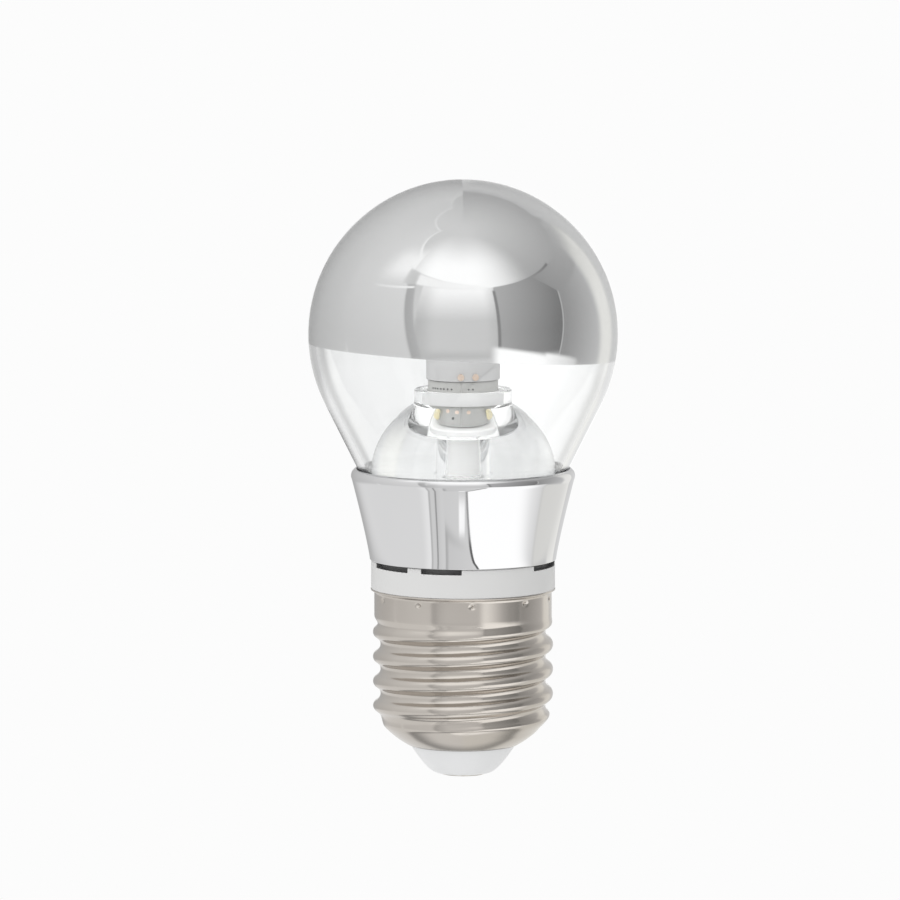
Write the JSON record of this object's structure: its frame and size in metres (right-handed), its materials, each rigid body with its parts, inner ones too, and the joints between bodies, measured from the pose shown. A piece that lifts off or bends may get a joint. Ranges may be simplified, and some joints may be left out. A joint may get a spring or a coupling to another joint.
{
  "type": "led bulb",
  "caption": "Globe LED bulb with a mirrored crown, a clear inner lens round a post, a chrome flared housing, a white vented ring and a screw cap.",
  "frame": {"origin": "centre of the contact face at the end of the cap", "axes": "+Z along the bulb's axis, from the cap to the crown; -Y is the front"},
  "size_m": [0.045, 0.045, 0.0869],
  "materials": {
    "clear_glass": "clear, blown, glossy",
    "silver_mirror": "bright silver coat",
    "clear_lens": "clear moulded plastic, polished",
    "chrome": "mirror-polished plating",
    "satin_nickel": "satin nickel plate",
    "white_plastic": "satin white",
    "aluminium": "satin",
    "grey_board": "satin grey solder mask",
    "white_sleeve": "satin white",
    "copper_pad": "soldered copper",
    "yellow_phosphor": "matte phosphor",
    "soft_seat": "soft, pale",
    "driver_board": "solder mask",
    "black_plastic": "moulded black",
    "capacitor_sleeve": "shrunk sleeve",
    "film_capacitor": "dipped coat",
    "copper_winding": "enamelled copper",
    "red_lead": "insulated wire",
    "black_lead": "insulated wire",
    "green_coat": "lacquered"
  },
  "bodies": {
    "root": {"glass_globe": "clear_glass", "mirror_lining": "silver_mirror", "inner_lens": "clear_lens", "reflector_housing": "chrome", "driver_housing": "white_plastic", "screw_shell": "satin_nickel", "insulator_tip": "white_plastic", "contact_button": "satin_nickel", "globe_seat": "soft_seat", "base_plate": "aluminium", "led_post": "aluminium", "led_board": "grey_board", "post_sleeve": "white_sleeve", "post_cap": "white_sleeve", "lens_ring": "white_sleeve", "pad_front": "copper_pad", "pad_right": "copper_pad", "led_chip_1": "yellow_phosphor", "led_chip_2": "yellow_phosphor", "led_chip_3": "yellow_phosphor", "led_chip_4": "yellow_phosphor", "driver_board": "driver_board", "bulk_capacitor": "capacitor_sleeve", "film_capacitor": "film_capacitor", "choke": "copper_winding", "rectifier": "black_plastic", "driver_chip": "black_plastic", "fuse_resistor": "green_coat", "led_lead_plus": "red_lead", "led_lead_minus": "black_lead", "live_lead": "red_lead", "neutral_lead": "black_lead"}
  },
  "joints": []
}
